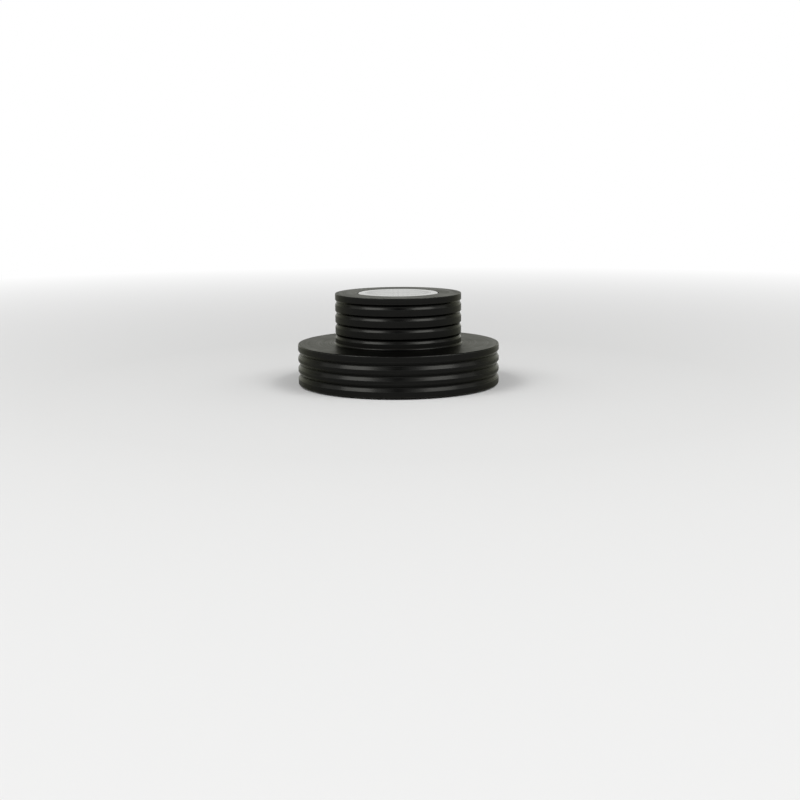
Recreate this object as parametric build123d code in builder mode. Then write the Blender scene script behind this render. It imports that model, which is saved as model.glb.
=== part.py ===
from build123d import *
import math
import os

# Record weight: a two-tier body turned from one aluminium bar, with V-grooves round both
# tiers, a thin plate let into its top and a soft pad let into its underside. It drops
# over a turntable's spindle. Millimetres, +Z up, origin on the turning axis at the
# underside of the pad.

# Tiers
lower_diameter = 80.6
lower_height = 16.0
upper_diameter = 50.4
upper_height = 20.0
rim_bevel = 0.3             # at the ledge's rim and at the foot
top_edge_break = 0.15
neck_bevel = 0.5            # where the upper tier rises from the ledge

# Ring grooves, cut by one V tool with a blunt nose
groove_angle = 115.0
groove_nose_flat = 0.35
end_land = 2.4              # plain band left at each end of a tier
lower_groove_count = 3
lower_groove_width = 2.9
upper_groove_count = 4
upper_groove_width = 1.95

# Plate in the top
plate_diameter = 31.8
plate_thickness = 0.9       # its seat is as deep, so the plate lies flush with the top face
plate_gap = 0.3             # all round, between the plate and its seat
plate_edge_break = 0.1

# Pad in the underside
foot_lift = 0.5             # the metal stops this far above the pad's underside
foot_rim_width = 4.0        # metal left outside the pad's seat
pad_seat_depth = 1.0
pad_gap = 0.15              # between the pad's edge and its seat

# Blind hole for the spindle
bore_diameter = 7.3
bore_depth = 24.0           # from the foot to where the drill's point begins
bore_lead_in = 0.8
bore_point_angle = 118.0
pad_hole_margin = 0.55      # the pad's hole stands back this far from the lead-in

# Heights and radii that follow from the sizes above
foot_z = foot_lift
ledge_z = foot_z + lower_height
top_z = ledge_z + upper_height
lower_radius = lower_diameter / 2
upper_radius = upper_diameter / 2

pad_seat_radius = lower_radius - foot_rim_width
pad_seat_z = foot_z + pad_seat_depth
pad_radius = pad_seat_radius - pad_gap

plate_radius = plate_diameter / 2
plate_seat_radius = plate_radius + plate_gap
plate_seat_z = top_z - plate_thickness

bore_radius = bore_diameter / 2
bore_mouth_radius = bore_radius + bore_lead_in
bore_end_z = foot_z + bore_depth
bore_tip_z = bore_end_z + bore_radius / math.tan(math.radians(bore_point_angle / 2))
pad_hole_radius = bore_mouth_radius + pad_hole_margin


def groove_heights(tier_bottom, tier_height, count, width):
    """Heights of a tier's grooves, spread evenly between its two end lands."""
    lowest = tier_bottom + end_land + width / 2
    pitch = (tier_height - 2 * end_land - width) / (count - 1)
    return [lowest + pitch * i for i in range(count)]


def groove_section(width):
    """One groove's section, with the middle of its mouth at the sketch's origin and its
    nose towards -X."""
    half_nose = groove_nose_flat / 2
    flank_spread = math.tan(math.radians(groove_angle / 2))
    depth = (width / 2 - half_nose) / flank_spread
    run_out = depth         # the section goes on this far outside the tier's wall
    half_start = width / 2 + run_out * flank_spread
    with BuildSketch() as section:
        with BuildLine():
            Polyline(
                (-depth, half_nose),
                (run_out, half_start),
                (run_out, -half_start),
                (-depth, -half_nose),
                close=True,
            )
        make_face()
    return section.sketch


wide_groove = groove_section(lower_groove_width)
narrow_groove = groove_section(upper_groove_width)
wide_groove_heights = groove_heights(
    foot_z, lower_height, lower_groove_count, lower_groove_width
)
narrow_groove_heights = groove_heights(
    ledge_z, upper_height, upper_groove_count, upper_groove_width
)

# Body: the half-section is drawn from the axis out and turned once
with BuildPart() as body:
    with BuildSketch(Plane.XZ) as half_section:
        with BuildLine():
            Polyline(
                (0, bore_tip_z),
                (bore_radius, bore_end_z),
                (bore_radius, pad_seat_z + bore_lead_in),
                (bore_mouth_radius, pad_seat_z),
                (pad_seat_radius, pad_seat_z),
                (pad_seat_radius, foot_z),
                (lower_radius, foot_z),
                (lower_radius, ledge_z),
                (upper_radius, ledge_z),
                (upper_radius, top_z),
                (plate_seat_radius, top_z),
                (plate_seat_radius, plate_seat_z),
                (0, plate_seat_z),
                close=True,
            )
        make_face()
        lower_rims = half_section.vertices().group_by(Axis.X)[-1]
        chamfer(lower_rims, rim_bevel)
        upper_wall = half_section.edges().filter_by(Axis.Y).filter_by_position(
            Axis.X, upper_radius, upper_radius
        )
        wall_ends = upper_wall.vertices().sort_by(Axis.Y)
        chamfer(wall_ends[0], neck_bevel)
        top_rim = half_section.vertices().group_by(Axis.Y)[-1].sort_by(Axis.X)[-1]
        chamfer(top_rim, top_edge_break)
        with Locations(*[(lower_radius, z) for z in wide_groove_heights]):
            add(wide_groove, mode=Mode.SUBTRACT)
        with Locations(*[(upper_radius, z) for z in narrow_groove_heights]):
            add(narrow_groove, mode=Mode.SUBTRACT)
    revolve(axis=Axis.Z)
body.part.label = "body"

# Plate: a thin disc lying on the floor of its seat
with BuildPart() as top_disc:
    with BuildSketch(Plane.XY.offset(plate_seat_z)):
        Circle(plate_radius)
    extrude(amount=plate_thickness)
    chamfer(top_disc.edges().group_by(Axis.Z)[-1], plate_edge_break)
top_disc.part.label = "top_disc"

# Pad: a soft disc with a hole for the spindle, proud of the foot
with BuildPart() as base_pad:
    with BuildSketch(Plane.XY):
        Circle(pad_radius)
        Circle(pad_hole_radius, mode=Mode.SUBTRACT)
    extrude(amount=pad_seat_z)
base_pad.part.label = "base_pad"

os.makedirs("parts", exist_ok=True)
export_step(body.part, "parts/body.step")
export_step(top_disc.part, "parts/top_disc.step")
export_step(base_pad.part, "parts/base_pad.step")
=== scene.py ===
import math

import bpy
from mathutils import Matrix, Vector, noise


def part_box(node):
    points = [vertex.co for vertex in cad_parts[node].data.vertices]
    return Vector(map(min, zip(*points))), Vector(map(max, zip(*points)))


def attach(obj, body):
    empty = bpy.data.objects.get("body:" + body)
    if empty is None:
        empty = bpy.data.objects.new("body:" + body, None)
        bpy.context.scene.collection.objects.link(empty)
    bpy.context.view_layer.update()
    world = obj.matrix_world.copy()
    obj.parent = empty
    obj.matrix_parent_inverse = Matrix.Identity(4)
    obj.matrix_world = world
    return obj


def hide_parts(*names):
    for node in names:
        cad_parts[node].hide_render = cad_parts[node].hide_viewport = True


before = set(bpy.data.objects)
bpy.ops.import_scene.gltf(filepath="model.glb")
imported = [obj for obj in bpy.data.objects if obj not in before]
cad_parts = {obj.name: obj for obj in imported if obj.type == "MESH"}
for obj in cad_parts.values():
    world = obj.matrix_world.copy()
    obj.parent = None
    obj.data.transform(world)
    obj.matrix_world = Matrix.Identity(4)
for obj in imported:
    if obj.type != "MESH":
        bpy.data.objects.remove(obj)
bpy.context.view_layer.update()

# A record weight: a two-tier body turned from one aluminium bar and anodised black, with
# V-grooves round both tiers, a pale plate let into its top and a felt pad under it.
# Metres, +Z up, with the origin on the turning axis at the underside of the pad.

MM = 0.001
body_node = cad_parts["body"]
pad_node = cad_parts["base_pad"]

# Turned skins
SAME_RING = 0.004 * MM          # corners nearer than this lie on one ring
SAME_POINT = 0.001 * MM
# The most that a corner is rounded, by how far it turns: up to 40 degrees at a groove's
# mouth and nose, up to 60 at a bevel, and square at the seats and the plate
CORNER_TURNS = (math.radians(40), math.radians(60), math.radians(180))
BODY_OUTER_RADII = (0.10 * MM, 0.30 * MM, 0.12 * MM)
PLATE_OUTER_RADII = (0.30 * MM,) * 3
INNER_RADII = (0.40 * MM, 0.90 * MM, 0.12 * MM)
ARC_STEP = math.radians(10)     # between the points on a rounded corner
SKIN_SEGMENTS = 288

# Camera, at the photograph's viewing angle. The focal length is in pixels of the picture.
PICTURE_WIDTH = 800
FOCAL_PIXELS = 1292.0
SENSOR_WIDTH_MM = 36.0
CAMERA_PLACE = Vector((0.47, -515.66, 85.46)) * MM
CAMERA_DIP = math.radians(10.18)
CAMERA_ROLL = math.radians(-0.41)


def section_of(node):
    """The corners of a turned node's half-section as (radius, height), in order along its
    skin from the highest one beside the axis."""
    rings = []
    ring_of = []
    for vertex in node.data.vertices:
        corner = Vector((math.hypot(vertex.co.x, vertex.co.y), vertex.co.z))
        known = (i for i, ring in enumerate(rings) if (ring - corner).length < SAME_RING)
        number = next(known, len(rings))
        if number == len(rings):
            rings.append(corner)
        ring_of.append(number)
    beside = {number: set() for number in range(len(rings))}
    for edge in node.data.edges:
        first, second = (ring_of[v] for v in edge.vertices)
        if first != second:
            beside[first].add(second)
            beside[second].add(first)
    ends = [number for number in beside if len(beside[number]) == 1]
    walk = [max(ends, key=lambda number: rings[number].y)]
    while True:
        ahead = beside[walk[-1]] - set(walk)
        if not ahead:
            break
        walk.append(ahead.pop())
    corners = [rings[number] for number in walk]
    if corners[0].x > SAME_RING:
        corners.insert(0, Vector((0, corners[0].y)))
    if corners[-1].x > SAME_RING:
        corners.append(Vector((0, corners[-1].y)))
    return corners


def left_of(direction):
    return Vector((-direction.y, direction.x))


def corner_radius(turn, outer_radii):
    """The radius for a corner that turns this far; outer corners turn below zero."""
    radii = outer_radii if turn < 0 else INNER_RADII
    return next(radius for limit, radius in zip(CORNER_TURNS, radii) if abs(turn) <= limit)


def eased(corners, outer_radii):
    """A smooth outline round the corners, as (point, normal, edge) in the half-section's
    plane. Edge is 1 in the middle of an outer edge and 0 elsewhere."""
    outline = [(corners[0], Vector((0, 1)), 0.0)]
    for before, corner, after in zip(corners, corners[1:], corners[2:]):
        come = (corner - before).normalized()
        go = (after - corner).normalized()
        turn = math.atan2(come.x * go.y - come.y * go.x, come.dot(go))
        half = math.tan(abs(turn) / 2)
        room = min((corner - before).length, (after - corner).length) / 2
        reach = min(corner_radius(turn, outer_radii) * half, room)
        radius = math.copysign(reach / half, -turn)
        centre = corner - come * reach - left_of(come) * radius
        steps = max(2, math.ceil(abs(turn) / ARC_STEP))
        for step in range(steps + 1):
            share = step / steps
            normal = left_of(come)
            normal.rotate(Matrix.Rotation(turn * share, 2))
            point = centre + normal * radius
            edge = math.sin(math.pi * share) if turn < 0 else 0.0
            if (point - outline[-1][0]).length > SAME_POINT:
                outline.append((point, normal, edge))
    outline.append((corners[-1], left_of((corners[-1] - corners[-2]).normalized()), 0.0))
    return outline


def plate_corners():
    """The corners of the plate's half-section, before its rim is rounded over."""
    low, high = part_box("top_disc")
    top = Vector((0, high.z))
    bottom = Vector((0, low.z))
    rim = Vector((high.x, 0))
    return [top, top + rim, bottom + rim, bottom]


def mesh_piece(name, points, faces):
    """A smooth-shaded mesh object in the scene."""
    mesh = bpy.data.meshes.new(name)
    mesh.from_pydata(points, [], faces)
    mesh.shade_smooth()
    piece = bpy.data.objects.new(name, mesh)
    bpy.context.scene.collection.objects.link(piece)
    return piece


def turned(name, outline, segments):
    """A mesh made by turning an outline about the Z axis, with its exact normals."""
    points = []
    normals = []
    edges = []
    rows = []
    for point, normal, edge in outline:
        around = segments if point.x > SAME_RING else 1
        rows.append(range(len(points), len(points) + around))
        for step in range(around):
            angle = 2 * math.pi * step / segments
            out = Vector((math.cos(angle), math.sin(angle), 0))
            points.append(out * point.x + Vector((0, 0, point.y)))
            across = normal.x if around > 1 else 0.0
            normals.append((out * across + Vector((0, 0, normal.y))).normalized())
            edges.append(edge)
    faces = []
    for row, following in zip(rows, rows[1:]):
        for step in range(segments):
            ahead = (step + 1) % segments
            face = [
                row[step % len(row)],
                following[step % len(following)],
                following[ahead % len(following)],
                row[ahead % len(row)],
            ]
            faces.append(list(dict.fromkeys(face)))
    piece = mesh_piece(name, points, faces)
    piece.data.normals_split_custom_set_from_vertices(normals)
    piece.data.attributes.new("edge", "FLOAT", "POINT").data.foreach_set("value", edges)
    return piece


# Materials

def node(tree, kind, inputs=None, **settings):
    """Adds a node. Inputs are numbers, colours or other nodes' sockets."""
    made = tree.nodes.new(kind)
    for field, value in settings.items():
        setattr(made, field, value)
    for socket, value in (inputs or {}).items():
        if isinstance(value, bpy.types.NodeSocket):
            tree.links.new(value, made.inputs[socket])
        else:
            made.inputs[socket].default_value = value
    return made


def maths(tree, operation, *values):
    made = node(tree, "ShaderNodeMath", dict(enumerate(values)), operation=operation)
    return made.outputs[0]


def new_material(name, **settings):
    """A material and its shader, with the shader's sockets set to settings."""
    made = bpy.data.materials.new(name)
    made.use_nodes = True
    shader = made.node_tree.nodes["Principled BSDF"]
    for socket, value in settings.items():
        shader.inputs[socket.replace("_", " ")].default_value = value
    return made, made.node_tree, shader


def axis_places(tree):
    """Sockets that say where a point lies about the turning axis: its distance, height and
    angle, and its flat direction from the axis."""
    texture_places = node(tree, "ShaderNodeTexCoord").outputs
    place = texture_places["Object"]
    split = node(tree, "ShaderNodeSeparateXYZ", {0: place}).outputs
    flat = node(tree, "ShaderNodeCombineXYZ", {0: split[0], 1: split[1]}).outputs[0]
    distance = node(tree, "ShaderNodeVectorMath", {0: flat}, operation="LENGTH")
    out = node(tree, "ShaderNodeVectorMath", {0: flat}, operation="NORMALIZE")
    return {
        "place": place,
        "normal": texture_places["Normal"],
        "distance": distance.outputs["Value"],
        "height": split[2],
        "angle": maths(tree, "ARCTAN2", split[1], split[0]),
        "out": node(tree, "ShaderNodeSeparateXYZ", {0: out.outputs[0]}).outputs,
    }


def turning_marks(tree, at, pitch, drift):
    """Noise that runs round the axis in fine rings, which fade in and out with drift."""
    ringed = node(
        tree,
        "ShaderNodeCombineXYZ",
        {
            0: maths(tree, "DIVIDE", at["distance"], pitch),
            1: maths(tree, "DIVIDE", at["height"], pitch),
            2: maths(tree, "MULTIPLY", at["out"][0], drift),
        },
    ).outputs[0]
    swing = maths(tree, "MULTIPLY", at["out"][1], drift)
    return node(
        tree,
        "ShaderNodeTexNoise",
        {"Vector": ringed, "W": swing, "Scale": 1.0, "Detail": 2.0, "Roughness": 0.6},
        noise_dimensions="4D",
    ).outputs[0]


def grain(tree, at, size, detail=2.0, curl=0.0):
    """Noise with grains of this size, drawn out into curls where curl is above 0."""
    settings = {"Scale": 1 / size, "Detail": detail, "Roughness": 0.6, "Distortion": curl}
    return node(tree, "ShaderNodeTexNoise", {"Vector": at["place"], **settings}).outputs[0]


def between(tree, value, low, high, start=0.0, end=1.0):
    """The value, moved from the range start..end to the range low..high and kept in it."""
    return node(
        tree,
        "ShaderNodeMapRange",
        {0: value, 1: start, 2: end, 3: low, 4: high},
    ).outputs[0]


def within(tree, value, low, high):
    """1 where the value lies from low to high, and 0 elsewhere."""
    return maths(tree, "COMPARE", value, (low + high) / 2, (high - low) / 2)


def blended(tree, factor, first, second):
    """Colours mixed by factor; each is a colour or a socket."""
    made = node(tree, "ShaderNodeMix", {0: factor, 6: first, 7: second}, data_type="RGBA")
    return made.outputs[2]


def bumped(tree, shader, height, strength, depth):
    """Gives the shader a relief of this height, depth deep at most."""
    made = node(tree, "ShaderNodeBump", {"Height": height, "Strength": strength, "Distance": depth})
    tree.links.new(made.outputs[0], shader.inputs["Normal"])


def black_anodised():
    """Satin black anodised metal. The flats and walls are blasted matt over faint turning
    marks, the grooves and bevels keep the tool's smoother cut, and the outer edges have worn
    a shade lighter."""
    made, tree, shader = new_material(
        "black_anodised",
        Metallic=1.0,
        Specular_Tint=(0.66, 0.665, 0.61, 1),
        Anisotropic=0.15,
        Anisotropic_Rotation=0.25,
    )
    dark = (0.0098, 0.0098, 0.0092, 1)
    light = (0.0172, 0.0172, 0.0162, 1)
    worn = (0.055, 0.055, 0.052, 1)
    most_worn = 0.8
    tool_polish = 0.13              # how much smoother the grooves and bevels are

    at = axis_places(tree)
    marks = turning_marks(tree, at, pitch=0.28 * MM, drift=1.4)
    fine = grain(tree, at, size=0.12 * MM)
    smudge = grain(tree, at, size=14 * MM, detail=3.0)
    edge = node(tree, "ShaderNodeAttribute", attribute_name="edge").outputs["Fac"]
    patchy = between(tree, grain(tree, at, size=1.6 * MM), 0.15, 1.0, 0.35, 0.65)
    worn_share = maths(tree, "MULTIPLY", maths(tree, "MULTIPLY", edge, patchy), most_worn)
    tone = blended(tree, worn_share, blended(tree, marks, dark, light), worn)
    tree.links.new(tone, shader.inputs["Base Color"])

    upward = node(tree, "ShaderNodeSeparateXYZ", {0: at["normal"]}).outputs[2]
    sloping = within(tree, maths(tree, "ABSOLUTE", upward), 0.35, 0.85)
    rough = maths(
        tree,
        "ADD",
        between(tree, marks, -0.06, 0.06, 0.3, 0.7),
        between(tree, smudge, 0.34, 0.42, 0.3, 0.7),
    )
    polished = maths(tree, "MULTIPLY", sloping, tool_polish)
    tree.links.new(maths(tree, "SUBTRACT", rough, polished), shader.inputs["Roughness"])
    height = maths(tree, "ADD", marks, maths(tree, "MULTIPLY", fine, 0.5))
    bumped(tree, shader, height, strength=0.35, depth=0.014 * MM)
    tangent = node(tree, "ShaderNodeTangent", direction_type="RADIAL", axis="Z")
    tree.links.new(tangent.outputs[0], shader.inputs["Tangent"])
    return made


def spokes(tree, at, count, first, half_width):
    """1 on straight bars that point at the axis, evenly spaced from the first one's angle."""
    share = maths(tree, "SUBTRACT", at["angle"], first)
    turn = maths(tree, "MULTIPLY", share, count / (2 * math.pi))
    off_turn = maths(tree, "SUBTRACT", turn, maths(tree, "ROUND", turn))
    off_angle = maths(tree, "MULTIPLY", maths(tree, "ABSOLUTE", off_turn), 2 * math.pi / count)
    off = maths(tree, "MULTIPLY", off_angle, at["distance"])
    return maths(tree, "LESS_THAN", off, half_width)


def plate_marks(tree, at, plate_radius):
    """Where the plate carries its printed pattern: a scale of long and short bars between two
    fine rings, and a dot in a ring of rays in the middle."""
    bar_count = 36
    ray_count = 12
    fine_line = 0.07 * MM
    dot_radius = 0.04 * plate_radius
    ring_radii = (0.13 * plate_radius, 0.60 * plate_radius, 0.82 * plate_radius)
    bar_outer = 0.78 * plate_radius
    distance = at["distance"]
    half_step = math.pi / bar_count

    patterns = [maths(tree, "LESS_THAN", distance, dot_radius)]
    for radius in ring_radii:
        patterns.append(maths(tree, "COMPARE", distance, radius, fine_line))
    for first, half_width, inner, outer, count in (
        (0.0, 0.27 * MM, 0.65 * plate_radius, bar_outer, bar_count),
        (half_step, 0.15 * MM, 0.72 * plate_radius, bar_outer, bar_count),
        (0.0, 0.16 * MM, 0.19 * plate_radius, 0.32 * plate_radius, ray_count),
    ):
        bars = spokes(tree, at, count, first, half_width)
        patterns.append(maths(tree, "MULTIPLY", bars, within(tree, distance, inner, outer)))
    marks = patterns[0]
    for pattern in patterns[1:]:
        marks = maths(tree, "MAXIMUM", marks, pattern)
    return marks


def pale_plate(plate_radius):
    """Pale satin metal, spun in fine rings, with a faint grey printed pattern. Its outer zone is
    painted lighter, a painted highlight along the plate's edge."""
    made, tree, shader = new_material("pale_plate", Metallic=1.0, Anisotropic=0.15)
    highlight_start = 0.83             # of the plate's radius
    print_grey = (0.27, 0.27, 0.26, 1)
    print_cover = 0.8

    at = axis_places(tree)
    brushed = turning_marks(tree, at, pitch=0.11 * MM, drift=0.9)
    speckle = grain(tree, at, size=0.3 * MM)
    # Painted highlight: beyond this radius the plate is painted lighter, in place of the light that
    # its spun edge and rim catch from the lamps
    painted_highlight_zone = maths(tree, "GREATER_THAN", at["distance"], highlight_start * plate_radius)
    inside = blended(tree, brushed, (0.55, 0.555, 0.53, 1), (0.63, 0.635, 0.61, 1))
    painted_highlight_tone = blended(tree, brushed, (0.66, 0.665, 0.64, 1), (0.74, 0.745, 0.72, 1))
    tone = blended(tree, painted_highlight_zone, inside, painted_highlight_tone)
    print_share = maths(tree, "MULTIPLY", plate_marks(tree, at, plate_radius), print_cover)
    tree.links.new(blended(tree, print_share, tone, print_grey), shader.inputs["Base Color"])
    rough = maths(
        tree,
        "ADD",
        between(tree, brushed, -0.05, 0.05, 0.3, 0.7),
        between(tree, speckle, 0.30, 0.36, 0.3, 0.7),
    )
    tree.links.new(rough, shader.inputs["Roughness"])
    bumped(tree, shader, brushed, strength=0.25, depth=0.006 * MM)
    tangent = node(tree, "ShaderNodeTangent", direction_type="RADIAL", axis="Z")
    tree.links.new(tangent.outputs[0], shader.inputs["Tangent"])
    return made


def black_felt():
    """Short dense black felt with matted fibres."""
    made, tree, shader = new_material(
        "felt",
        Roughness=0.95,
        Specular_IOR_Level=0.15,
        Sheen_Weight=0.35,
    )
    at = axis_places(tree)
    fibre = grain(tree, at, size=0.30 * MM, detail=4.0, curl=2.5)
    clump = grain(tree, at, size=1.5 * MM)
    tone = blended(tree, fibre, (0.008, 0.008, 0.009, 1), (0.036, 0.036, 0.039, 1))
    matted = blended(tree, clump, tone, (0.02, 0.02, 0.022, 1))
    tree.links.new(matted, shader.inputs["Base Color"])
    height = maths(tree, "ADD", fibre, maths(tree, "MULTIPLY", clump, 0.6))
    bumped(tree, shader, height, strength=0.8, depth=0.12 * MM)
    return made


# Pad

def pad_outline():
    """The felt pad's section inside its CAD solid, as a closed loop of (point, normal) in
    the half-section's plane. Its four edges are worn round."""
    low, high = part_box("base_pad")
    outer = high.x
    inner = min(math.hypot(vertex.co.x, vertex.co.y) for vertex in pad_node.data.vertices)
    edge_radius = 0.45 * MM
    arc_steps = 5
    face_step = 0.5 * MM
    face_width = outer - inner - 2 * edge_radius
    face_steps = math.ceil(face_width / face_step)

    outline = []
    for x, z, start in (
        (outer - edge_radius, low.z + edge_radius, -90),
        (outer - edge_radius, high.z - edge_radius, 0),
        (inner + edge_radius, high.z - edge_radius, 90),
        (inner + edge_radius, low.z + edge_radius, 180),
    ):
        for step in range(arc_steps + 1):
            angle = math.radians(start + 90 * step / arc_steps)
            normal = Vector((math.cos(angle), math.sin(angle)))
            outline.append((Vector((x, z)) + normal * edge_radius, normal))
        if start in (0, 180):
            # A flat face follows: inwards over the top, and outwards under the bottom
            point, normal = outline[-1]
            along = left_of(normal)
            for step in range(1, face_steps):
                outline.append((point + along * face_width * step / face_steps, normal))
    return outline


def felt_pad():
    """A ring of felt with a matted, uneven face. It stays inside its CAD solid."""
    segments = 320
    relief = 0.05 * MM
    lump_size = 1.1 * MM

    outline = pad_outline()
    points = []
    for point, normal in outline:
        for step in range(segments):
            angle = 2 * math.pi * step / segments
            out = Vector((math.cos(angle), math.sin(angle), 0))
            place = out * point.x + Vector((0, 0, point.y))
            lump = noise.fractal(place / lump_size, 1.0, 2.0, 3)
            sink = relief * (0.5 + 0.5 * max(-1.0, min(1.0, lump)))
            points.append(place - (out * normal.x + Vector((0, 0, normal.y))) * sink)
    faces = []
    for row in range(len(outline)):
        following = (row + 1) % len(outline)
        for step in range(segments):
            ahead = (step + 1) % segments
            face = (
                row * segments + step,
                row * segments + ahead,
                following * segments + ahead,
                following * segments + step,
            )
            faces.append(face)
    return mesh_piece("felt_pad", points, faces)


# Studio

def studio_camera():
    data = bpy.data.cameras.new("camera")
    data.sensor_width = SENSOR_WIDTH_MM
    data.lens = FOCAL_PIXELS * SENSOR_WIDTH_MM / PICTURE_WIDTH
    data.clip_start = 10 * MM
    camera = bpy.data.objects.new("camera", data)
    turn = Matrix.Rotation(math.pi / 2 - CAMERA_DIP, 4, "X") @ Matrix.Rotation(CAMERA_ROLL, 4, "Z")
    camera.matrix_world = Matrix.Translation(CAMERA_PLACE) @ turn
    bpy.context.scene.collection.objects.link(camera)
    bpy.context.scene.camera = camera


def studio_world(white_up_to, dim_from, ceiling):
    """White walls all round, which fade into a dim ceiling between two elevations."""
    world = bpy.data.worlds.new("studio")
    bpy.context.scene.world = world
    world.use_nodes = True
    tree = world.node_tree
    background = tree.nodes["Background"]
    background.inputs["Color"].default_value = (1, 1, 1, 1)
    direction = node(tree, "ShaderNodeTexCoord").outputs["Generated"]
    rise = node(tree, "ShaderNodeSeparateXYZ", {0: direction}).outputs[2]
    strength = between(tree, rise, 1.0, ceiling, math.sin(white_up_to), math.sin(dim_from))
    tree.links.new(strength, background.inputs["Strength"])


def studio_floor():
    """A plain pale floor that turns into the white backdrop some way off."""
    reach = 2600 * MM
    fade_start = 140 * MM
    fade_end = 620 * MM
    sides = 96
    points = [
        (reach * math.cos(2 * math.pi * k / sides), reach * math.sin(2 * math.pi * k / sides), 0)
        for k in range(sides)
    ]
    floor = mesh_piece("floor", points, [range(sides)])

    made, tree, shader = new_material(
        "floor",
        Base_Color=(0.66, 0.66, 0.655, 1),
        Roughness=0.8,
        Specular_IOR_Level=0.0,
    )
    at = axis_places(tree)
    far = between(tree, at["distance"], 0.0, 1.0, fade_start, fade_end)
    glow = node(tree, "ShaderNodeEmission", {"Color": (1, 1, 1, 1), "Strength": 1.0})
    mix = node(
        tree,
        "ShaderNodeMixShader",
        {0: far, 1: shader.outputs[0], 2: glow.outputs[0]},
    )
    tree.links.new(mix.outputs[0], tree.nodes["Material Output"].inputs["Surface"])
    floor.data.materials.append(made)


def softbox(name, azimuth, elevation, size, roll, brightness):
    """A soft lamp aimed at the weight. Azimuth 0 is the camera's side, and 90 the right."""
    distance = 900 * MM
    data = bpy.data.lights.new(name, "AREA")
    data.shape = "RECTANGLE"
    data.size, data.size_y = size
    data.energy = brightness * math.pi * size[0] * size[1]
    lamp = bpy.data.objects.new(name, data)
    across = math.radians(azimuth)
    up = math.radians(elevation)
    level = Vector((math.sin(across), -math.cos(across), 0))
    to_lamp = level * math.cos(up) + Vector((0, 0, math.sin(up)))
    aim = Vector((0, 0, 18 * MM))
    lamp.location = aim + to_lamp * distance
    turn = to_lamp.to_track_quat("Z", "Y").to_matrix() @ Matrix.Rotation(math.radians(roll), 3, "Z")
    lamp.rotation_euler = turn.to_euler()
    lamp.visible_camera = False
    bpy.context.scene.collection.objects.link(lamp)


# The weight

body = turned("body_skin", eased(section_of(body_node), BODY_OUTER_RADII), SKIN_SEGMENTS)
body.data.materials.append(black_anodised())
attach(body, "root")
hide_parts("body")

plate = turned("plate_skin", eased(plate_corners(), PLATE_OUTER_RADII), SKIN_SEGMENTS)
plate.data.materials.append(pale_plate(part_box("top_disc")[1].x))
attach(plate, "root")
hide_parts("top_disc")

pad = felt_pad()
pad.data.materials.append(black_felt())
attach(pad, "root")
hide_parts("base_pad")

# The studio

studio_camera()
studio_world(white_up_to=math.radians(16), dim_from=math.radians(42), ceiling=0.15)
studio_floor()
for name, azimuth, elevation, size, roll, brightness in (
    ("key", 61, 51, (0.46, 0.36), -8, 5.4),
    ("fill", 64, 49, (1.40, 0.32), -12, 1.45),
):
    softbox(name + "_left", -azimuth, elevation, size, -roll, brightness)
    softbox(name + "_right", azimuth, elevation, size, roll, brightness)

bpy.context.scene.view_settings.view_transform = "Standard"
